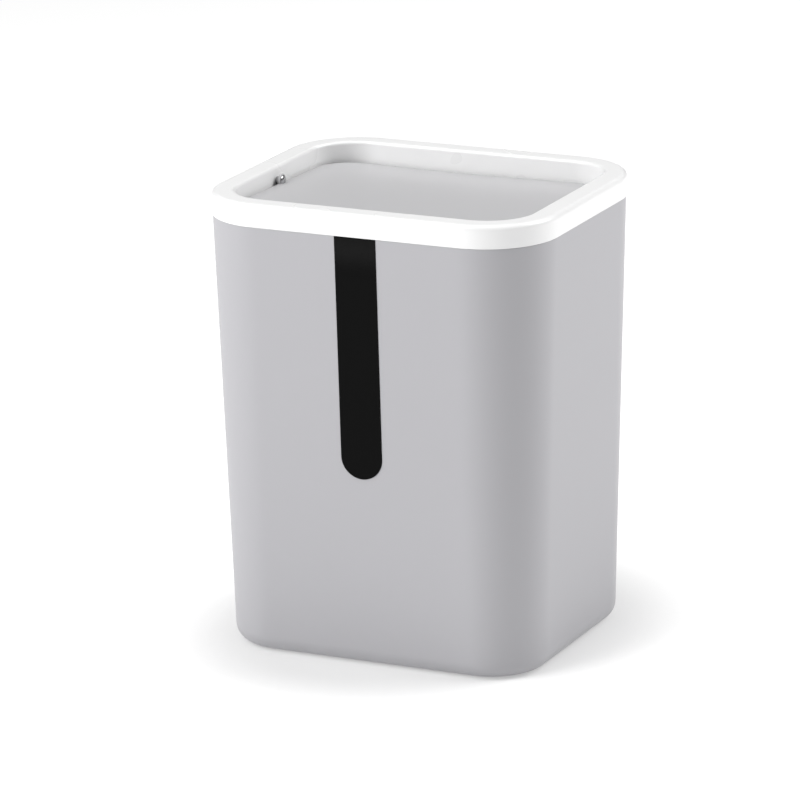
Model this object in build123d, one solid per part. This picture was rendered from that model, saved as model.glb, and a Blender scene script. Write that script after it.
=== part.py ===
from build123d import *
import math
import os

# A small desktop bin: a drafted bucket, a rim ring that plugs into its mouth and
# clamps the liner, and a lid that swings in the ring on two riveted steel pins.
# Millimetres. The origin is on the table, under the middle of the bucket.
# +Z is up, -Y is the front with the label strip, X is the swing axis.

# Overall form
height = 178.6
base_width = 129.3
base_depth = 106.3
base_corner = 22.6
draft_angle = 1.74

# Bucket
wall = 2.0
floor_thickness = 2.2
foot_rounding = 6.5
inner_rounding = 4.5
foot_width = 3.0
foot_height = 1.4
lip_chamfer = 0.4

# Rim ring
rim_height = 9.0
rim_face = 9.5
rim_step = 0.25
rim_wall = 1.6
rim_top = 2.0
rim_outer_rounding = 2.0
rim_inner_rounding = 1.2
opening_corner = 17.8
throat_wall = 1.8
throat_depth = 20.0
skirt_wall = 1.5
skirt_depth = 9.0
skirt_clearance = 0.35
web_thickness = 1.2
web_drop = 4.0
long_webs = (-36.0, -12.0, 12.0, 36.0)
short_webs = (-24.0, 24.0)

# Swing lid
lid_recess = 6.5
lid_gap = 1.2
lid_plate = 2.2
lid_dish = 0.9
lid_edge_rounding = 0.8
lid_rest_tilt = 1.5
flange_wall = 1.5
flange_drop = 4.0
flange_taper = 0.5
flange_root = 0.3
flange_notch = 15.0
lid_rib = 1.2
lid_rib_drop = 2.6
cross_ribs = (-32.0, 0.0, 32.0)
ear_radius = 2.8
ear_thickness = 1.0

# Pivot pins and their bearings
axis_above_lid = 0.8
pin_radius = 1.6
running_clearance = 0.06
journal_length = 4.4
journal_chamfer = 0.4
head_radius = 2.3
head_height = 0.8
head_clearance = 0.3
bearing_wall = 2.4
bore_end_gap = 0.4

# Stop wedges under the bearings
swing_stop = 70.0
stop_reach = 2.4
stop_tip_width = 0.8

# Label strip on the front wall
label_width = 17.0
label_bottom = 75.0
label_thickness = 0.25

# Places worked out from the sizes above
slope = math.tan(math.radians(draft_angle))
lip_z = height - rim_height
floor_z = foot_height + floor_thickness
throat_z = height - throat_depth
lid_top_z = height - lid_recess
axis_z = lid_top_z + axis_above_lid
plate_bottom_z = lid_top_z - lid_plate
flange_bottom_z = plate_bottom_z - flange_drop
flange_root_z = plate_bottom_z + flange_root
opening_width = base_width + 2 * (height * slope + rim_step - rim_face)
opening_depth = base_depth + 2 * (height * slope + rim_step - rim_face)
lid_width = opening_width - 2 * lid_gap
lid_depth = opening_depth - 2 * lid_gap
lid_corner = opening_corner - lid_gap
skirt_inset = wall + skirt_clearance
ear_face = lid_width / 2 - head_clearance


def outline(z, inset):
    """The drafted wall's rounded rectangle at one height, moved in by inset."""
    grow = z * slope - inset
    shape = RectangleRounded(base_width + 2 * grow, base_depth + 2 * grow, base_corner + grow)
    return Plane.XY.offset(z) * shape


def drafted(low_z, high_z, inset):
    """A block with the bucket's draft between two heights."""
    upright = extrude(outline(0, inset), high_z, taper=-draft_angle)
    if low_z > 0:
        upright -= block((-base_width, base_width), (-base_depth, base_depth), (0, low_z))
    return upright


def prism(width, depth, corner, low_z, high_z):
    """An upright block with a rounded rectangular outline."""
    shape = Plane.XY.offset(low_z) * RectangleRounded(width, depth, corner)
    return extrude(shape, high_z - low_z)


def block(x_range, y_range, z_range):
    """A plain box from its lowest to its highest corner."""
    size = [high - low for low, high in (x_range, y_range, z_range)]
    middle = [(high + low) / 2 for low, high in (x_range, y_range, z_range)]
    return Pos(*middle) * Box(*size)


def rod(radius, x_low, x_high, z):
    """A round bar along X between two places."""
    return Pos((x_low + x_high) / 2, 0, z) * Rot(0, 90, 0) * Cylinder(radius, x_high - x_low)


def mirrored(solid):
    """The same shape on the other short side."""
    return mirror(solid, about=Plane.YZ)


def edges_at(solid, z, tolerance=0.01):
    """The edges that lie in one level plane."""
    return solid.edges().filter_by_position(Axis.Z, z - tolerance, z + tolerance)


def inner_edges_on_top(solid):
    """The edges of the hole in the solid's highest face."""
    return solid.faces().sort_by(Axis.Z)[-1].inner_wires()[0].edges()


# Bucket: drafted shell with a rounded foot, a recess under its floor and a flat lip
def make_bucket():
    body = drafted(0, lip_z, 0)
    body = fillet(edges_at(body, 0), foot_rounding)
    cavity = drafted(floor_z, lip_z, wall)
    cavity = fillet(edges_at(cavity, floor_z), inner_rounding)
    recess = drafted(0, foot_height, foot_rounding + foot_width)
    bucket = body - cavity - recess
    return chamfer(inner_edges_on_top(bucket), lip_chamfer)


# Rim ring: outer band on the lip, top face, throat wall, plug skirt, webs and bearings
def make_rim_ring():
    band = drafted(lip_z, height, -rim_step)
    band = fillet(edges_at(band, height), rim_outer_rounding)
    band -= drafted(lip_z, height - rim_top, rim_wall - rim_step)
    skirt = drafted(lip_z - skirt_depth, height - rim_top, skirt_inset)
    skirt -= drafted(lip_z - skirt_depth, height - rim_top, skirt_inset + skirt_wall)
    throat = prism(
        opening_width + 2 * throat_wall,
        opening_depth + 2 * throat_wall,
        opening_corner + throat_wall,
        throat_z,
        height - rim_top,
    )
    pocket = drafted(lip_z - web_drop, height - rim_top, skirt_inset + skirt_wall / 2)
    webs = Part() + [
        block((x - web_thickness / 2, x + web_thickness / 2), (-base_depth, base_depth), (lip_z - web_drop, height))
        for x in long_webs
    ]
    webs += [
        block((-base_width, base_width), (y - web_thickness / 2, y + web_thickness / 2), (lip_z - web_drop, height))
        for y in short_webs
    ]
    ring = band + skirt + throat + (webs & pocket)

    boss_radius = pin_radius + running_clearance + bearing_wall
    skirt_face = base_width / 2 + axis_z * slope - skirt_inset - skirt_wall / 2
    boss = rod(boss_radius, opening_width / 2 + throat_wall / 2, skirt_face, axis_z)
    boss -= block((0, base_width), (-base_depth, base_depth), (height - rim_top / 2, height + boss_radius))
    ring += boss + mirrored(boss)

    ring -= prism(opening_width, opening_depth, opening_corner, throat_z, height)
    ring = fillet(inner_edges_on_top(ring), rim_inner_rounding)

    bore_end = opening_width / 2 + journal_length + bore_end_gap
    bore = rod(pin_radius + running_clearance, 0, bore_end, axis_z)
    ring -= bore + mirrored(bore)

    stop = stop_wedge()
    return ring + stop + mirrored(stop)


def stop_wedge():
    """A wedge whose flanks lie flat on the lid's underside when it is turned to the stop."""
    lean = math.radians(swing_stop)
    underside = axis_z - plate_bottom_z
    tip = stop_tip_width / 2
    foot = ((axis_z - throat_z) * math.cos(lean) - underside) / math.sin(lean)
    tip_z = axis_z - (underside + tip * math.sin(lean)) / math.cos(lean)
    section = make_face(Polyline((-foot, throat_z), (foot, throat_z), (tip, tip_z), (-tip, tip_z), close=True))
    wedge = extrude(Plane.YZ * section, stop_reach + throat_wall / 2)
    return Pos(opening_width / 2 - stop_reach, 0, 0) * wedge


# Swing lid: dished plate, tapered flange open beside the pivots, ribs and two ears
def make_swing_lid():
    dish_radius = ((lid_width / 2) ** 2 + lid_dish**2) / (2 * lid_dish)
    dish_centre = Pos(0, 0, lid_top_z - lid_dish + dish_radius) * Rot(90, 0, 0)
    plate = prism(lid_width, lid_depth, lid_corner, plate_bottom_z - lid_dish, lid_top_z + lid_dish)
    plate &= dish_centre * Cylinder(dish_radius + lid_plate, 2 * lid_depth)
    plate -= dish_centre * Cylinder(dish_radius, 2 * lid_depth)
    top_edges = plate.faces().sort_by(Axis.Z)[-1].outer_wire().edges()
    plate = fillet(top_edges, lid_edge_rounding)

    flange = flange_block(0) - flange_block(flange_wall)
    notch = block((-lid_width, lid_width), (-flange_notch, flange_notch), (flange_bottom_z, flange_root_z))
    flange -= notch

    rib_low = plate_bottom_z - lid_rib_drop
    ribs = Part() + [
        block((x - lid_rib / 2, x + lid_rib / 2), (-lid_depth, lid_depth), (rib_low, flange_root_z))
        for x in cross_ribs
    ]
    ribs += [
        block((-lid_width, lid_width), (y - lid_rib / 2, y + lid_rib / 2), (rib_low, flange_root_z))
        for y in (-flange_notch - lid_rib / 2, flange_notch + lid_rib / 2)
    ]
    lid = plate + flange + (ribs & flange_block(flange_wall / 2))

    ear = rod(ear_radius, ear_face - ear_thickness, ear_face, axis_z)
    lid += ear + mirrored(ear)
    relief = rod(head_radius + head_clearance, ear_face - ear_thickness - head_height - head_clearance,
                 ear_face - ear_thickness, axis_z)
    hole = rod(pin_radius, ear_face - ear_thickness, lid_width, axis_z)
    return at_rest(lid - relief - mirrored(relief) - hole - mirrored(hole))


def at_rest(solid):
    """The lid hangs with its front edge a little up."""
    return solid.rotate(Axis((0, 0, axis_z), (1, 0, 0)), -lid_rest_tilt)


def flange_block(inset):
    """The block that the lid's tapered flange wall runs round."""
    low = inset + flange_taper
    depth = flange_root_z - flange_bottom_z
    foot = RectangleRounded(lid_width - 2 * low, lid_depth - 2 * low, lid_corner - low)
    taper = math.degrees(math.atan(flange_taper / depth))
    return Pos(0, 0, flange_bottom_z) * extrude(foot, depth, taper=-taper)


# Pivot pin: a domed head inside the ear, a shank pressed in it and a running journal
def make_pivot_pin():
    head_x = ear_face - ear_thickness
    tip_x = opening_width / 2 + journal_length
    dome_radius = (head_radius**2 + head_height**2) / (2 * head_height)
    profile = Polyline(
        (head_x, head_radius),
        (head_x, pin_radius),
        (tip_x - journal_chamfer, pin_radius),
        (tip_x, pin_radius - journal_chamfer),
        (tip_x, 0),
        (head_x - head_height, 0),
    )
    dome = RadiusArc((head_x - head_height, 0), (head_x, head_radius), dome_radius)
    section = make_face(Plane.XZ * (profile + dome))
    return Pos(0, 0, axis_z) * revolve(section, Axis.X)


# Label strip: a thin strip that hangs from the ring, with a round lower end
def make_label_strip():
    across = math.cos(math.radians(draft_angle))
    front = Plane(
        origin=(0, -base_depth / 2, 0),
        x_dir=(1, 0, 0),
        z_dir=(0, -across, -math.sin(math.radians(draft_angle))),
    )
    half = label_width / 2
    top = lip_z / across
    round_centre = label_bottom / across + half
    strip = Pos(0, (top + round_centre) / 2) * Rectangle(label_width, top - round_centre)
    strip += Pos(0, round_centre) * Circle(half)
    return extrude(front * strip, label_thickness) - block(
        (-base_width, base_width), (-base_depth, base_depth), (lip_z, height)
    )


pin = make_pivot_pin()
pieces = {
    "bucket": make_bucket(),
    "rim_ring": make_rim_ring(),
    "swing_lid": make_swing_lid(),
    "pivot_pin_right": pin,
    "pivot_pin_left": mirrored(pin),
    "label_strip": make_label_strip(),
}

os.makedirs("parts", exist_ok=True)
for name, piece in pieces.items():
    export_step(piece, f"parts/{name}.step")

print(f"opening {opening_width:.2f} x {opening_depth:.2f}, swing axis at {axis_z:.2f}")
print(f"the lid turns {swing_stop - lid_rest_tilt:.1f} degrees front up, {swing_stop + lid_rest_tilt:.1f} front down")
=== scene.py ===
"""Looks of a small desktop bin: its moulded skins, finishes, studio and camera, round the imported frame."""

import math

import bmesh
import bpy
import numpy as np
from bpy.props import FloatProperty, FloatVectorProperty, PointerProperty
from mathutils import Matrix, Vector


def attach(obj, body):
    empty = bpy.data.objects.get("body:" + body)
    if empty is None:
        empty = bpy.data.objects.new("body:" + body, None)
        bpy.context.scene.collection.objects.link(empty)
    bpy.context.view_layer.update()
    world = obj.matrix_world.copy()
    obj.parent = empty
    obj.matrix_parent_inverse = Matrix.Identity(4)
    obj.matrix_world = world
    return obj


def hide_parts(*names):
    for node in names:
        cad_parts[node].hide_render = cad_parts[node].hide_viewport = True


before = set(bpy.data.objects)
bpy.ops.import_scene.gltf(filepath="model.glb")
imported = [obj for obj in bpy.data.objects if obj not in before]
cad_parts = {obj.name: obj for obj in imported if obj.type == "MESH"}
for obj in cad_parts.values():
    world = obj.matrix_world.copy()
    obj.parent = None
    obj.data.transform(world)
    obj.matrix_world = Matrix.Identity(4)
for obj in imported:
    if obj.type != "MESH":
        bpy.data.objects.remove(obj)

bl_info = {
    "name": "Desktop bin",
    "version": (1, 0, 0),
    "blender": (4, 5, 0),
    "location": "3D View > Sidebar > Desktop bin",
    "description": "Finishes and stage for a desktop bin with a swing lid",
    "category": "Object",
}

MM = 0.001

# Sizes in millimetres, as the frame has them
HEIGHT = 178.6
BASE_HALF_WIDTH = 129.3 / 2
SIDE_DIFFERENCE = (129.3 - 106.3) / 2
BASE_CORNER = 22.6
SLOPE = math.tan(math.radians(1.74))
WALL = 2.0
FLOOR_TOP = 3.6
FOOT_HEIGHT = 1.4
FOOT_ROUNDING = 6.5
FOOT_WIDTH = 3.0
FOOT_INNER_EDGE = 0.4
RECESS_EDGE = 0.3
INNER_ROUNDING = 4.5
LIP_OUTER_EDGE = 0.25
LIP_INNER_EDGE = 0.5
RIM_HEIGHT = 9.0
RIM_TOP = 2.0
RIM_STEP = 0.25
RIM_WALL = 1.6
RIM_EDGE = 0.2
RING_EDGE = 0.4
RING_CREASE = 0.15
RIM_FACE = 9.5
OPENING_CORNER = 17.8
THROAT_WALL = 1.8
THROAT_DEPTH = 20.0
SKIRT_WALL = 1.5
SKIRT_DEPTH = 9.0
SKIRT_CLEARANCE = 0.35
SKIRT_TIP_EDGE = 0.3
WEB_THICKNESS = 1.2
WEB_DROP = 4.0
LONG_WEBS = (-36.0, -12.0, 12.0, 36.0)
SHORT_WEBS = (-24.0, 24.0)
BOSS_RADIUS = 4.06
BOSS_EDGE = 0.3
STOP_LEAN = math.radians(70.0)
STOP_REACH = 2.4
STOP_TIP = 0.4
STOP_FOOT_EDGE = 0.2
STOP_TIP_EDGE = 0.15
LID_RECESS = 6.5
LID_GAP = 1.2
LID_PLATE = 2.2
LID_EDGE = 0.8
LID_TILT = math.radians(-1.5)
FLANGE_DROP = 4.0
FLANGE_WALL = 1.5
FLANGE_TAPER = 0.5
FLANGE_EDGE = 0.12
BARE_RIDGE = 0.04
BARE_EDGE = 0.012
FLANGE_NOTCH = 15.0
LID_RIB = 1.2
LID_RIB_DROP = 2.6
CROSS_RIBS = (-32.0, 0.0, 32.0)
EAR_RADIUS = 2.8
EAR_THICKNESS = 1.0
EAR_EDGE = 0.25
EAR_INSET = 0.3
AXIS_ABOVE_LID = 0.8
PIN_RADIUS = 1.6
JOURNAL_LENGTH = 4.4
PIN_NECK_EDGE = 0.1
PIN_END_EDGE = 0.35
HEAD_RADIUS = 2.3
HEAD_HEIGHT = 0.8
LABEL_HALF_WIDTH = 8.5
LABEL_BOTTOM = 75.0
LABEL_THICKNESS = 0.25
LABEL_EDGE = 0.1
LABEL_SINK = 0.05
LABEL_MIDDLE_ROW = 4.0

LIP_Z = HEIGHT - RIM_HEIGHT
LID_TOP_Z = HEIGHT - LID_RECESS
AXIS_Z = LID_TOP_Z + AXIS_ABOVE_LID
OPENING_HALF = BASE_HALF_WIDTH + HEIGHT * SLOPE + RIM_STEP - RIM_FACE
LID_HALF = OPENING_HALF - LID_GAP
WALL_CENTRE = BASE_HALF_WIDTH - BASE_CORNER
THROAT_CENTRE = OPENING_HALF - OPENING_CORNER
EAR_FACE = LID_HALF - EAR_INSET


class Signal:
    """A node socket that takes arithmetic: each operator adds one Math node."""

    def __init__(self, tree, socket):
        self.tree = tree
        self.socket = socket

    def math(self, operation, *values):
        return add_node(self.tree, "ShaderNodeMath", {"operation": operation}, dict(enumerate(values)))

    def __add__(self, other):
        return self.math("ADD", self, other)

    def __mul__(self, other):
        return self.math("MULTIPLY", self, other)

    __radd__ = __add__
    __rmul__ = __mul__


def add_node(tree, kind, settings, sockets, output=0):
    """Adds one node: its settings first, then the values or links of its sockets."""
    node = tree.nodes.new(kind)
    for name, value in settings.items():
        setattr(node, name, value)
    for name, value in sockets.items():
        if isinstance(value, Signal):
            tree.links.new(value.socket, node.inputs[name])
        else:
            node.inputs[name].default_value = value
    return Signal(tree, node.outputs[output])


class Finish:
    """One procedural material: a principled shader and the patterns that feed it."""

    def __init__(self, name, **constants):
        self.material = bpy.data.materials.new(name)
        self.material.use_nodes = True
        self.tree = self.material.node_tree
        self.shader = self.tree.nodes["Principled BSDF"]
        for socket, value in constants.items():
            self.shader.inputs[socket.replace("_", " ").title().replace("Ior", "IOR")].default_value = value
        self.place = add_node(self.tree, "ShaderNodeTexCoord", {}, {}, output=3)

    def noise(self, scale, detail=2.0, stretch=(1.0, 1.0, 1.0)):
        """A grey noise pattern on object coordinates; scale is in cycles per metre."""
        spread = add_node(self.tree, "ShaderNodeMapping", {}, {"Vector": self.place, "Scale": stretch})
        return add_node(self.tree, "ShaderNodeTexNoise", {},
                        {"Vector": spread, "Scale": scale, "Detail": detail})

    def tint(self, mask, low, high):
        """Base colour that goes from low to high with the mask."""
        blend = add_node(self.tree, "ShaderNodeMix", {"data_type": "RGBA"},
                         {0: mask, 6: (*low, 1.0), 7: (*high, 1.0)}, output=2)
        self.feed("Base Color", blend)

    def bump(self, height, distance, strength=1.0):
        """Fine relief: height is 0 to 1, distance its depth in metres."""
        relief = add_node(self.tree, "ShaderNodeBump", {},
                          {"Height": height, "Distance": distance, "Strength": strength})
        self.feed("Normal", relief)

    def feed(self, socket, signal):
        self.tree.links.new(signal.socket, self.shader.inputs[socket])


def shade(colour, factor):
    """The colour made lighter or darker by one factor."""
    return tuple(channel * factor for channel in colour)


def moulded_grey(colour, name):
    """Satin moulded plastic: a fine even grain, with the faint cloudiness of the melt."""
    finish = Finish(name, specular_ior_level=0.45)
    cloud = finish.noise(9.0, 3.0)
    finish.tint(cloud, shade(colour, 0.985), shade(colour, 1.015))
    grain = finish.noise(2600.0, 2.0)
    finish.feed("Roughness", cloud * 0.06 + 0.39)
    finish.bump(grain, 0.00001, 0.5)
    return finish.material


def moulded_white(colour):
    """Glossier white plastic with a hint of flow unevenness."""
    finish = Finish("white plastic", specular_ior_level=0.5)
    cloud = finish.noise(14.0, 3.0)
    finish.tint(cloud, shade(colour, 0.99), colour)
    finish.feed("Roughness", cloud * 0.08 + 0.24)
    finish.bump(finish.noise(420.0, 2.0), 0.00001, 0.25)
    return finish.material


def plated_steel(colour):
    """Bright plated steel with fine turning marks round the pin's axis."""
    finish = Finish("plated steel", metallic=1.0)
    marks = finish.noise(900.0, 2.0, (6.0, 1.0, 1.0))
    finish.tint(marks, shade(colour, 0.92), colour)
    finish.feed("Roughness", marks * 0.14 + 0.12)
    return finish.material


def black_film(colour):
    """Thin black film with a faint orange-peel gloss."""
    finish = Finish("black film", specular_ior_level=0.05)
    peel = finish.noise(260.0, 2.0)
    finish.tint(peel, colour, shade(colour, 1.25))
    finish.feed("Roughness", peel * 0.1 + 0.45)
    finish.bump(peel, 0.00001, 0.2)
    return finish.material


def wall_x(z, inset):
    """Half the width of the drafted wall at one height, moved in by inset."""
    return BASE_HALF_WIDTH + z * SLOPE - inset


def rounded(corners, closed=False, steps=6, support=0.12):
    """A profile with rounded corners.

    Each corner is (x, z, radius, centre). Its arc is tangent to both runs: it starts radius * tan(turn / 2)
    before the corner and follows start + radius * (sin(a) * along + (1 - cos(a)) * across) for a from 0 to
    the turn. A point close before and after each arc keeps the flat runs flat when they are shaded smooth.
    """
    rows = np.array(corners, dtype=float)
    place, radius, centre = rows[:, :2], rows[:, 2], rows[:, 3]
    before = place - np.roll(place, 1, axis=0)
    after = np.roll(place, -1, axis=0) - place
    along = before / np.linalg.norm(before, axis=1, keepdims=True)
    leave = after / np.linalg.norm(after, axis=1, keepdims=True)
    turn = np.arccos(np.clip((along * leave).sum(1), -1, 1))
    across = leave - (along * leave).sum(1, keepdims=True) * along
    across /= np.maximum(np.linalg.norm(across, axis=1, keepdims=True), 1e-9)
    start = place - along * (radius * np.tan(turn / 2))[:, None]
    end = place + leave * (radius * np.tan(turn / 2))[:, None]
    angle = turn[:, None] * np.linspace(0, 1, steps + 1)[None, :]
    forward = np.sin(angle)[..., None] * along[:, None, :]
    swing = forward + (1 - np.cos(angle))[..., None] * across[:, None, :]
    arcs = start[:, None, :] + radius[:, None, None] * swing
    first = (start - along * support)[:, None]
    last = (end + leave * support)[:, None]
    arcs = np.concatenate((first, arcs, last), axis=1)
    tagged = np.concatenate((arcs, np.broadcast_to(centre[:, None, None], (*arcs.shape[:2], 1))), axis=2)
    if closed:
        return tagged.reshape(-1, 3)
    ends = np.column_stack((place, centre))
    return np.vstack((ends[:1], tagged[1:-1].reshape(-1, 3), ends[-1:]))


def loop(side_places=(0.985, 0.5, 0.0, -0.5, -0.985), steps=16):
    """One turn round a rounded rectangle: the corner-centre signs (cx, cy) and outward normals (nx, ny).

    A quarter has its corner's signs and a normal that turns by 90 degrees, the side after it has a steady
    normal while one sign runs from 1 to -1, and the four quarters are that one turned by 90 degrees.
    """
    turn = np.linspace(0, math.pi / 2, steps + 1)
    side = np.array(side_places)
    signs = np.concatenate((np.ones((steps + 1, 2)), np.column_stack((side, np.ones_like(side)))))
    turning = np.column_stack((np.cos(turn), np.sin(turn)))
    normals = np.concatenate((turning, np.tile((0.0, 1.0), (len(side), 1))))
    quarter = np.hstack((signs, normals))
    turned = [quarter]
    for _ in range(3):
        last = turned[-1]
        turned.append(np.column_stack((-last[:, 1], last[:, 0], -last[:, 3], last[:, 2])))
    return np.concatenate(turned)


def carried(profile, path, difference=SIDE_DIFFERENCE):
    """A profile carried round a rounded rectangle.

    P(v, u) = (c * cx + (x - c) * nx, (c - d) * cy + (x - c) * ny, z), where x, z and c are the profile's
    place and corner centre at v, and d is how much shorter half the depth is than half the width.
    """
    x, z, centre = (profile[:, k, None] for k in range(3))
    cx, cy, nx, ny = (path[None, :, k] for k in range(4))
    across = centre * cx + (x - centre) * nx
    along = (centre - difference) * cy + (x - centre) * ny
    return np.stack((across, along, np.broadcast_to(z, across.shape)), axis=-1)


def to_the_middle(row, shares, middle=(0.0, 0.0)):
    """Copies of one row drawn towards a middle by each share, level with the row."""
    shares = np.array(shares)[:, None, None]
    drawn = np.array(middle) + (row[None, :, :2] - np.array(middle)) * shares
    return np.concatenate((drawn, np.broadcast_to(row[None, :, 2:], (*drawn.shape[:2], 1))), axis=2)


def capped(grid, first=(0.0, 0.5, 0.97), last=(0.97, 0.5, 0.0)):
    """A grid closed at both ends by rows that shrink to a point."""
    return np.concatenate((to_the_middle(grid[0], first), grid, to_the_middle(grid[-1], last)))


def shell(grid, closed_rows=False):
    """The points and quads of a grid that is closed round each row, and from last row to first if asked."""
    rows, columns = grid.shape[:2]
    index = np.arange(rows * columns).reshape(rows, columns)
    beside = np.roll(index, -1, axis=1)
    above = np.roll(index, -1, axis=0)
    diagonal = np.roll(beside, -1, axis=0)
    quads = np.stack((index, beside, diagonal, above), axis=-1)
    if not closed_rows:
        quads = quads[:-1]
    return grid.reshape(-1, 3), quads.reshape(-1, 4)


def bar(half_width, half_depth, z_low, z_high, middle=(0.0, 0.0), edge=0.15):
    """An upright bar with small rounded edges, as one shell."""
    corner = 1.5 * edge
    centre = half_width - corner
    profile = rounded([(0, z_low, 0, centre), (half_width, z_low, edge, centre),
                       (half_width, z_high, edge, centre), (0, z_high, 0, centre)], steps=3, support=0.03)
    grid = carried(profile[1:-1], loop((0.99, -0.99), steps=3), half_width - half_depth)
    grid = capped(grid, first=(0.0, 0.9), last=(0.9, 0.0))
    return shell(grid + np.array((*middle, 0.0)))


def turned(profile, side=1.0, steps=48):
    """A profile of (x, radius) turned about the swing axis: P(v, a) = (x, r * cos(a), axis + r * sin(a))."""
    angle = np.arange(steps) * 2 * math.pi / steps
    x, radius = profile[:, 0, None], profile[:, 1, None]
    across = np.broadcast_to(x * side, (len(profile), steps))
    return shell(np.stack((across, radius * np.cos(angle), AXIS_Z + radius * np.sin(angle)), axis=-1))


def disc(x_low, x_high, radius, edge):
    """The profile of a flat disc on the swing axis, with rounded edges."""
    corners = [(x_low, 0, 0, 0), (x_low, radius, edge, 0), (x_high, radius, edge, 0), (x_high, 0, 0, 0)]
    return rounded(corners, steps=5, support=0.05)[:, :2]


def at_rest(points):
    """The lid's points turned about the swing axis, its front edge a little up."""
    y, z = points[:, 1], points[:, 2] - AXIS_Z
    turned_y = y * math.cos(LID_TILT) - z * math.sin(LID_TILT)
    turned_z = y * math.sin(LID_TILT) + z * math.cos(LID_TILT)
    return np.column_stack((points[:, 0], turned_y, turned_z + AXIS_Z))


def add_piece(name, shells, material, body, node):
    """Makes one object from closed shells, in metres, and seats it in the frame in place of its node."""
    points = np.concatenate([part[0] for part in shells]) * MM
    starts = np.cumsum([0] + [len(part[0]) for part in shells[:-1]])
    quads = np.concatenate([part[1] + start for part, start in zip(shells, starts)])
    mesh = bpy.data.meshes.new(name)
    mesh.from_pydata(points.tolist(), [], quads.tolist())
    build = bmesh.new()
    build.from_mesh(mesh)
    bmesh.ops.remove_doubles(build, verts=build.verts, dist=0.002 * MM)
    bmesh.ops.recalc_face_normals(build, faces=build.faces)
    build.to_mesh(mesh)
    build.free()
    mesh.shade_smooth()
    mesh.materials.append(material)
    piece = bpy.data.objects.new(name, mesh)
    bpy.context.scene.collection.objects.link(piece)
    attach(piece, body)
    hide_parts(node)
    return piece


def bucket_shells():
    """The bucket as one closed skin: recess, standing rim, rounded foot, wall, lip, cavity and floor."""
    recess = wall_x(0, FOOT_ROUNDING + FOOT_WIDTH)
    corners = [
        (0, FOOT_HEIGHT, 0, WALL_CENTRE),
        (recess, FOOT_HEIGHT, RECESS_EDGE, WALL_CENTRE),
        (recess, 0, FOOT_INNER_EDGE, WALL_CENTRE),
        (wall_x(0, 0), 0, FOOT_ROUNDING, WALL_CENTRE),
        (wall_x(LIP_Z, 0), LIP_Z, LIP_OUTER_EDGE, WALL_CENTRE),
        (wall_x(LIP_Z, WALL), LIP_Z, LIP_INNER_EDGE, WALL_CENTRE),
        (wall_x(FLOOR_TOP, WALL), FLOOR_TOP, INNER_ROUNDING, WALL_CENTRE),
        (0, FLOOR_TOP, 0, WALL_CENTRE),
    ]
    return [shell(capped(carried(rounded(corners, steps=12)[1:-1], loop(steps=24))))]


def ring_shells(outer_rounding, inner_rounding):
    """The rim ring: a closed section carried round the mouth, with webs, bearing bosses and stop wedges."""
    top_under = HEIGHT - RIM_TOP
    skirt_low = LIP_Z - SKIRT_DEPTH
    skirt_out = WALL + SKIRT_CLEARANCE
    throat_out = OPENING_HALF + THROAT_WALL
    throat_low = HEIGHT - THROAT_DEPTH
    section = [
        (wall_x(LIP_Z, -RIM_STEP), LIP_Z, RIM_EDGE, WALL_CENTRE),
        (wall_x(HEIGHT, -RIM_STEP), HEIGHT, outer_rounding, WALL_CENTRE),
        (OPENING_HALF, HEIGHT, inner_rounding, THROAT_CENTRE),
        (OPENING_HALF, throat_low, RING_EDGE, THROAT_CENTRE),
        (throat_out, throat_low, RING_EDGE, THROAT_CENTRE),
        (throat_out, top_under, RING_EDGE, THROAT_CENTRE),
        (wall_x(top_under, skirt_out + SKIRT_WALL), top_under, RING_EDGE, WALL_CENTRE),
        (wall_x(skirt_low, skirt_out + SKIRT_WALL), skirt_low, SKIRT_TIP_EDGE, WALL_CENTRE),
        (wall_x(skirt_low, skirt_out), skirt_low, RING_EDGE, WALL_CENTRE),
        (wall_x(top_under, skirt_out), top_under, RING_CREASE, WALL_CENTRE),
        (wall_x(top_under, RIM_WALL - RIM_STEP), top_under, RING_CREASE, WALL_CENTRE),
        (wall_x(LIP_Z, RIM_WALL - RIM_STEP), LIP_Z, RIM_EDGE, WALL_CENTRE),
    ]
    shells = [shell(carried(rounded(section, closed=True), loop(steps=24)), closed_rows=True)]

    throat_middle = throat_out - THROAT_WALL / 2
    skirt_middle = wall_x(LIP_Z, skirt_out + SKIRT_WALL / 2)
    web_middle = (throat_middle + skirt_middle) / 2
    web_reach = (skirt_middle - throat_middle) / 2
    web_low = LIP_Z - WEB_DROP
    web_high = top_under + RIM_TOP / 2
    half_web = WEB_THICKNESS / 2
    for side in (-1, 1):
        for x in LONG_WEBS:
            place = (x, side * (web_middle - SIDE_DIFFERENCE))
            shells.append(bar(half_web, web_reach, web_low, web_high, place))
        for y in SHORT_WEBS:
            shells.append(bar(web_reach, half_web, web_low, web_high, (side * web_middle, y)))
        shells.append(turned(disc(throat_middle, skirt_middle, BOSS_RADIUS, BOSS_EDGE), side))
        shells.append(stop_shell(side))
    return shells


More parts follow.
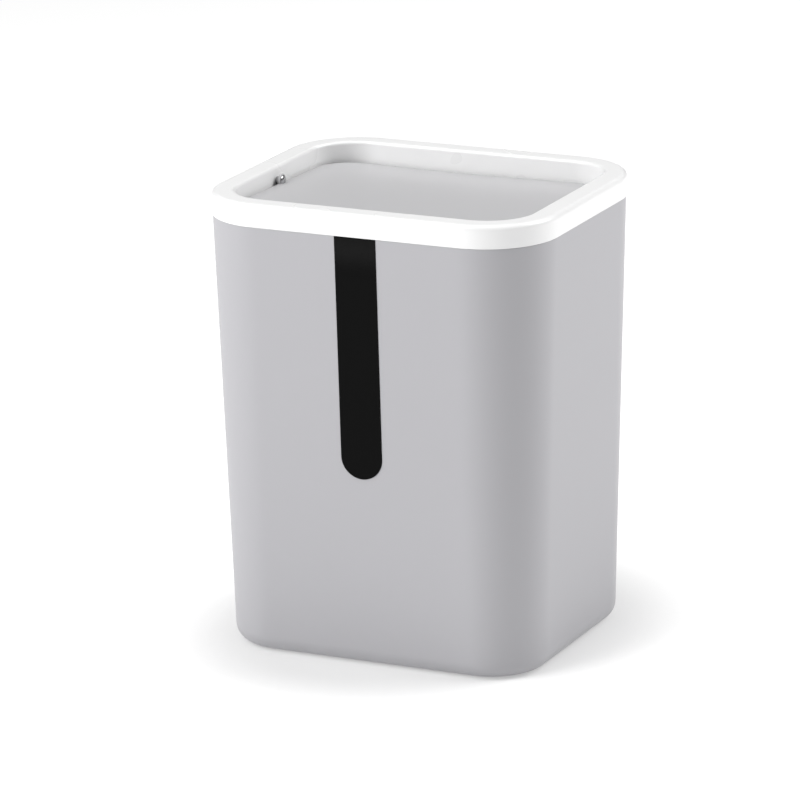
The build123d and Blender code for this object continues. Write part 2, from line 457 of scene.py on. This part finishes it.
def stop_shell(side):
    """A wedge on the throat wall: a rounded four-sided section carried along X and closed at both ends."""
    underside = AXIS_Z - (LID_TOP_Z - LID_PLATE)
    low = HEIGHT - THROAT_DEPTH
    foot = ((AXIS_Z - low) * math.cos(STOP_LEAN) - underside) / math.sin(STOP_LEAN)
    tip_z = AXIS_Z - (underside + STOP_TIP * math.sin(STOP_LEAN)) / math.cos(STOP_LEAN)
    section = [
        (-foot, low, STOP_FOOT_EDGE, 0),
        (foot, low, STOP_FOOT_EDGE, 0),
        (STOP_TIP, tip_z, STOP_TIP_EDGE, 0),
        (-STOP_TIP, tip_z, STOP_TIP_EDGE, 0),
    ]
    outline = rounded(section, closed=True, steps=3, support=0.03)[:, :2]
    middle = np.array((0.0, low + 2.0))
    shares = np.array((0.0, 0.96, 1.0, 1.0, 0.96, 0.0))[:, None, None]
    inner = OPENING_HALF - STOP_REACH
    outer = OPENING_HALF + THROAT_WALL / 2
    places = np.array((inner, inner, inner + 0.2, outer, outer, outer))[:, None, None] * side
    flat = middle + (outline[None] - middle) * shares
    grid = np.concatenate((np.broadcast_to(places, (*flat.shape[:2], 1)), flat), axis=2)
    return shell(grid)


def lid_shells(dish):
    """The swing lid: a dished plate with a flange that is left out beside the pivots, ribs and two ears."""
    bay, bay_end = 0.476, 0.495
    path = loop((0.985, bay_end, bay, 0.0, -bay, -bay_end, -0.985), steps=20)
    plates = []
    for drop, taper, edge in ((FLANGE_DROP, FLANGE_TAPER, FLANGE_EDGE), (BARE_RIDGE, 0.0, BARE_EDGE)):
        corners = [
            (0, 0, 0, THROAT_CENTRE),
            (LID_HALF, 0, LID_EDGE, THROAT_CENTRE),
            (LID_HALF - taper, -LID_PLATE - drop, edge, THROAT_CENTRE),
            (LID_HALF - taper - FLANGE_WALL, -LID_PLATE - drop, edge, THROAT_CENTRE),
            (LID_HALF - FLANGE_WALL, -LID_PLATE, edge, THROAT_CENTRE),
            (0, -LID_PLATE, 0, THROAT_CENTRE),
        ]
        plates.append(carried(rounded(corners, steps=6, support=edge / 3)[1:-1], path))
    full, bare = plates
    beside_pivot = (np.abs(path[:, 2]) > 0.99) & (np.abs(path[:, 1]) < (bay + bay_end) / 2)
    grid = np.where(beside_pivot[None, :, None], bare, full)
    shares = np.linspace(0.0, 1.0, 13)[:-1]
    grid = capped(grid, first=shares, last=shares[::-1])
    radius = (LID_HALF**2 + dish**2) / (2 * dish)
    bend = radius - np.sqrt(radius**2 - grid[..., 0] ** 2) - dish
    grid[..., 2] += LID_TOP_Z + bend
    shells = [shell(grid)]

    rib_low = LID_TOP_Z - LID_PLATE - LID_RIB_DROP
    rib_high = LID_TOP_Z - LID_PLATE / 2 - dish
    half_depth = LID_HALF - SIDE_DIFFERENCE - FLANGE_WALL
    for x in CROSS_RIBS:
        shells.append(bar(LID_RIB / 2, half_depth, rib_low, rib_high, (x, 0.0)))
    for y in (-FLANGE_NOTCH - LID_RIB / 2, FLANGE_NOTCH + LID_RIB / 2):
        shells.append(bar(LID_HALF - FLANGE_WALL, LID_RIB / 2, rib_low, rib_high, (0.0, y)))
    for side in (-1, 1):
        shells.append(turned(disc(EAR_FACE - EAR_THICKNESS, EAR_FACE, EAR_RADIUS, EAR_EDGE), side))
    return [(at_rest(points), quads) for points, quads in shells]


def pin_shells(side):
    """A riveted pin: a domed head, a shank and a journal with a small end chamfer, turned about the axis."""
    head_x = EAR_FACE - EAR_THICKNESS
    tip_x = OPENING_HALF + JOURNAL_LENGTH
    dome_radius = (HEAD_RADIUS**2 + HEAD_HEIGHT**2) / (2 * HEAD_HEIGHT)
    reach = np.linspace(0.0, math.asin(HEAD_RADIUS / dome_radius), 12)
    dome_x = head_x - HEAD_HEIGHT + dome_radius * (1 - np.cos(reach))
    dome = np.column_stack((dome_x, dome_radius * np.sin(reach)))
    corners = [
        (head_x, HEAD_RADIUS, 0, 0),
        (head_x, PIN_RADIUS, PIN_NECK_EDGE, 0),
        (tip_x, PIN_RADIUS, PIN_END_EDGE, 0),
        (tip_x, 0, 0, 0),
    ]
    rest = rounded(corners, steps=4, support=0.04)[:, :2]
    return [turned(np.vstack((dome, rest)), side)]


def label_shells():
    """The label strip: an outline with a round lower end, set off the wall and drawn in to its centre line.

    In the wall's plane the outline is h * (sin(a), -cos(a)) below the round's centre and straight sides
    above, with h the half width less the row's inset; each row stands off the wall by its own height.
    """
    lean = math.atan(SLOPE)
    top = (LIP_Z - LABEL_SINK) / math.cos(lean)
    centre = LABEL_BOTTOM / math.cos(lean) + LABEL_HALF_WIDTH
    turn = np.linspace(-math.pi / 2, math.pi / 2, 33)
    rise = np.linspace(0.01, 1.0, 6)
    level = np.zeros_like(rise)
    sine = np.concatenate((np.sin(turn), level + 1, level - 1))
    drop = np.concatenate((-np.cos(turn), level, level))
    climb = np.concatenate((np.zeros_like(turn), rise, rise[::-1]))
    bend = np.linspace(0, math.pi / 2, 6)
    back_rows = (LABEL_HALF_WIDTH, LABEL_MIDDLE_ROW, 0.0)
    front_rows = (0.3, LABEL_MIDDLE_ROW, LABEL_HALF_WIDTH)
    inset = np.concatenate((back_rows, LABEL_EDGE * (1 - np.cos(bend)), front_rows))
    edge_rows = LABEL_THICKNESS - LABEL_EDGE * (1 - np.sin(bend))
    off = np.concatenate((np.full(3, -LABEL_SINK), edge_rows, np.full(3, LABEL_THICKNESS)))
    half = (LABEL_HALF_WIDTH - inset)[:, None]
    across = half * sine
    up = centre + half * drop + climb * (top - centre)
    off = np.broadcast_to(off[:, None], across.shape)
    y = -(BASE_HALF_WIDTH - SIDE_DIFFERENCE) - up * math.sin(lean) - off * math.cos(lean)
    z = up * math.cos(lean) - off * math.sin(lean)
    return [shell(np.stack((across, y, z), axis=-1))]


class DesktopBinSizes(bpy.types.PropertyGroup):
    """Roundings, colours and light that a user would change."""

    ring_outer_rounding: FloatProperty(
        name="Ring outer rounding", description="Radius of the ring's outer top edge",
        default=2.0 * MM, unit="LENGTH")
    ring_inner_rounding: FloatProperty(
        name="Ring inner rounding", description="Radius round the mouth", default=1.2 * MM, unit="LENGTH")
    lid_dish: FloatProperty(
        name="Lid dish", description="How far the lid's middle lies below its ends",
        default=0.9 * MM, unit="LENGTH")
    bucket_colour: FloatVectorProperty(
        name="Bucket", description="Grey of the bucket", subtype="COLOR", size=3,
        default=(0.427, 0.423, 0.443))
    # The lid's grey is set lighter than the bucket's though both are one plastic; the difference is painted
    # sheen
    lid_colour_with_painted_sheen: FloatVectorProperty(
        name="Lid", description="Grey of the swing lid", subtype="COLOR", size=3,
        default=(0.479, 0.477, 0.487))
    ring_colour: FloatVectorProperty(
        name="Ring", description="White of the rim ring", subtype="COLOR", size=3,
        default=(0.87, 0.87, 0.87))
    steel_colour: FloatVectorProperty(
        name="Pins", description="Tone of the plated pins", subtype="COLOR", size=3,
        default=(0.40, 0.40, 0.41))
    label_colour: FloatVectorProperty(
        name="Label", description="Black of the label strip", subtype="COLOR", size=3,
        default=(0.0025, 0.0025, 0.0025))
    key_power: FloatProperty(
        name="Key light", description="Power of the front left light", default=12.9, unit="POWER")
    high_power: FloatProperty(
        name="High light", description="Power of the high left light", default=12.4, unit="POWER")
    side_power: FloatProperty(
        name="Side light", description="Power of the right light", default=19.7, unit="POWER")
    top_power: FloatProperty(
        name="Top light", description="Power of the light overhead", default=5.0, unit="POWER")
    room_light: FloatProperty(name="Room light", description="Strength of the even surround", default=0.08)
    floor_glow: FloatProperty(name="Floor glow", description="Own light of the pale floor", default=0.7)


class AddBucket(bpy.types.Operator):
    """Add the bucket's moulded skin"""

    bl_idname = "desktop_bin.add_bucket"
    bl_label = "Bucket"

    def execute(self, context):
        material = moulded_grey(tuple(context.scene.desktop_bin.bucket_colour), "bucket plastic")
        add_piece("bucket_skin", bucket_shells(), material, "bin", "bucket")
        return {"FINISHED"}


class AddRing(bpy.types.Operator):
    """Add the rim ring with its skirt, webs, bosses and stops"""

    bl_idname = "desktop_bin.add_ring"
    bl_label = "Rim ring"

    def execute(self, context):
        sizes = context.scene.desktop_bin
        shells = ring_shells(sizes.ring_outer_rounding / MM, sizes.ring_inner_rounding / MM)
        material = moulded_white(tuple(sizes.ring_colour))
        add_piece("rim_ring_skin", shells, material, "ring", "rim_ring")
        return {"FINISHED"}


class AddLid(bpy.types.Operator):
    """Add the dished swing lid with its flange, ribs and ears"""

    bl_idname = "desktop_bin.add_lid"
    bl_label = "Swing lid"

    def execute(self, context):
        sizes = context.scene.desktop_bin
        # The lid's lighter grey is painted sheen on the same plastic as the bucket
        material = moulded_grey(tuple(sizes.lid_colour_with_painted_sheen), "lid plastic with painted sheen")
        shells = lid_shells(sizes.lid_dish / MM)
        add_piece("swing_lid_skin", shells, material, "lid", "swing_lid")
        return {"FINISHED"}


class AddPins(bpy.types.Operator):
    """Add the two riveted pivot pins"""

    bl_idname = "desktop_bin.add_pins"
    bl_label = "Pivot pins"

    def execute(self, context):
        steel = plated_steel(tuple(context.scene.desktop_bin.steel_colour))
        for name, side in (("left", -1.0), ("right", 1.0)):
            node = f"pivot_pin_{name}"
            add_piece(f"{node}_skin", pin_shells(side), steel, "lid", node)
        return {"FINISHED"}


class AddLabel(bpy.types.Operator):
    """Add the label strip"""

    bl_idname = "desktop_bin.add_label"
    bl_label = "Label strip"

    def execute(self, context):
        material = black_film(tuple(context.scene.desktop_bin.label_colour))
        add_piece("label_strip_skin", label_shells(), material, "bin", "label_strip")
        return {"FINISHED"}


CAMERA_AZIMUTH = math.radians(25.07)
CAMERA_HEIGHT = math.radians(16.15)
CAMERA_ROLL = math.radians(-0.97)
CAMERA_DISTANCE = 2.087
CAMERA_LENS = 243.9
TARGET = Vector((0.0, 0.0, 0.0886))
AIM_RIGHT = -0.00905
AIM_UP = 0.00273
SOFTBOX_SIDE = 1.0
SOFTBOX_DISTANCE = 1.6
KEY_DIRECTION = (-35, 30)
HIGH_DIRECTION = (-45, 50)
SIDE_DIRECTION = (125, 40)
TOP_DIRECTION = (20, 88)
FLOOR_SIDE = 12.0
# The floor's painted contact shadow: the radii over which its own light climbs back from the lowered level,
# the stretch of that ring, and the lowered level
FLOOR_PAINTED_SHADOW_RADII = (0.07, 0.13)
FLOOR_PAINTED_SHADOW_SHAPE = (1.15, 1.0, 1.0)
FLOOR_PAINTED_SHADOW_LEVEL = 0.5


def add_camera():
    """A long lens at the photographed angle, aimed a little beside the bin's middle."""
    back = Vector((
        math.sin(CAMERA_AZIMUTH) * math.cos(CAMERA_HEIGHT),
        -math.cos(CAMERA_AZIMUTH) * math.cos(CAMERA_HEIGHT),
        math.sin(CAMERA_HEIGHT),
    ))
    eye = TARGET + back * CAMERA_DISTANCE
    right = Vector((0, 0, 1)).cross(back).normalized()
    up = back.cross(right)
    aim = TARGET + right * AIM_RIGHT + up * AIM_UP
    back = (eye - aim).normalized()
    right = Vector((0, 0, 1)).cross(back).normalized()
    up = back.cross(right)
    rolled_right = right * math.cos(CAMERA_ROLL) + up * math.sin(CAMERA_ROLL)
    rolled_up = up * math.cos(CAMERA_ROLL) - right * math.sin(CAMERA_ROLL)
    data = bpy.data.cameras.new("camera")
    data.lens = CAMERA_LENS
    data.clip_end = 20.0
    camera = bpy.data.objects.new("camera", data)
    turn = Matrix((rolled_right, rolled_up, back)).transposed().to_4x4()
    camera.matrix_world = Matrix.Translation(eye) @ turn
    bpy.context.scene.collection.objects.link(camera)
    bpy.context.scene.camera = camera


def add_softbox(name, power, direction):
    """A square area light that faces the bin's middle from an azimuth and a height, in degrees."""
    data = bpy.data.lights.new(name, "AREA")
    data.size = SOFTBOX_SIDE
    data.energy = power
    light = bpy.data.objects.new(name, data)
    turn, rise = (math.radians(angle) for angle in direction)
    away = Vector((math.sin(turn) * math.cos(rise), -math.cos(turn) * math.cos(rise), math.sin(rise)))
    light.location = TARGET + away * SOFTBOX_DISTANCE
    light.rotation_mode = "QUATERNION"
    light.rotation_quaternion = away.to_track_quat("Z", "Y")
    bpy.context.scene.collection.objects.link(light)


def add_floor(glow):
    """A plain pale floor far wider than the view; its own light is lowered round the bin's foot, a painted
    contact shadow.
    """
    half = FLOOR_SIDE / 2
    mesh = bpy.data.meshes.new("floor")
    corners = [(-half, -half, 0), (half, -half, 0), (half, half, 0), (-half, half, 0)]
    mesh.from_pydata(corners, [], [(0, 1, 2, 3)])
    floor = bpy.data.objects.new("floor", mesh)
    finish = Finish("floor white", roughness=0.9, specular_ior_level=0.1, emission_strength=glow)
    finish.tint(finish.noise(3.0), (0.49, 0.49, 0.49), (0.51, 0.51, 0.51))
    # Painted contact shadow: the floor's own light is lower close round the bin's foot and rises to full
    # further out
    spread = add_node(finish.tree, "ShaderNodeMapping", {},
                      {"Vector": finish.place, "Scale": FLOOR_PAINTED_SHADOW_SHAPE})
    away = add_node(finish.tree, "ShaderNodeVectorMath", {"operation": "LENGTH"}, {0: spread}, output=1)
    painted_shadow = add_node(finish.tree, "ShaderNodeMapRange", {"interpolation_type": "SMOOTHSTEP"},
                    {"Value": away, "From Min": FLOOR_PAINTED_SHADOW_RADII[0], "From Max": FLOOR_PAINTED_SHADOW_RADII[1],
                     "To Min": FLOOR_PAINTED_SHADOW_LEVEL, "To Max": 1.0})
    finish.feed("Emission Color", painted_shadow)
    mesh.materials.append(finish.material)
    bpy.context.scene.collection.objects.link(floor)


class SetStage(bpy.types.Operator):
    """Add the pale floor, the soft lights and the camera"""

    bl_idname = "desktop_bin.set_stage"
    bl_label = "Floor, light and camera"

    def execute(self, context):
        scene = context.scene
        sizes = scene.desktop_bin
        scene.view_settings.view_transform = "Standard"
        world = bpy.data.worlds.new("studio")
        world.use_nodes = True
        surround = world.node_tree.nodes["Background"]
        surround.inputs["Color"].default_value = (1.0, 1.0, 1.0, 1.0)
        surround.inputs["Strength"].default_value = sizes.room_light
        scene.world = world
        add_floor(sizes.floor_glow)
        add_softbox("key softbox", sizes.key_power, KEY_DIRECTION)
        add_softbox("high softbox", sizes.high_power, HIGH_DIRECTION)
        add_softbox("side softbox", sizes.side_power, SIDE_DIRECTION)
        add_softbox("top softbox", sizes.top_power, TOP_DIRECTION)
        add_camera()
        return {"FINISHED"}


STEPS = (AddBucket, AddRing, AddLid, AddPins, AddLabel, SetStage)


class DesktopBinPanel(bpy.types.Panel):
    """Lists the steps in the sidebar"""

    bl_idname = "VIEW3D_PT_desktop_bin"
    bl_label = "Desktop bin"
    bl_space_type = "VIEW_3D"
    bl_region_type = "UI"
    bl_category = "Desktop bin"

    def draw(self, context):
        for step in STEPS:
            self.layout.operator(step.bl_idname)
        for name in DesktopBinSizes.__annotations__:
            self.layout.prop(context.scene.desktop_bin, name)


CLASSES = (DesktopBinSizes, *STEPS, DesktopBinPanel)


def register():
    for cls in CLASSES:
        bpy.utils.register_class(cls)
    bpy.types.Scene.desktop_bin = PointerProperty(type=DesktopBinSizes)


def unregister():
    del bpy.types.Scene.desktop_bin
    for cls in reversed(CLASSES):
        bpy.utils.unregister_class(cls)


def run_step(step):
    """Runs one operator by its name."""
    group, name = step.bl_idname.split(".")
    getattr(getattr(bpy.ops, group), name)()


def main():
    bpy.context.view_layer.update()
    register()
    for step in STEPS:
        run_step(step)


if __name__ == "__main__":
    main()
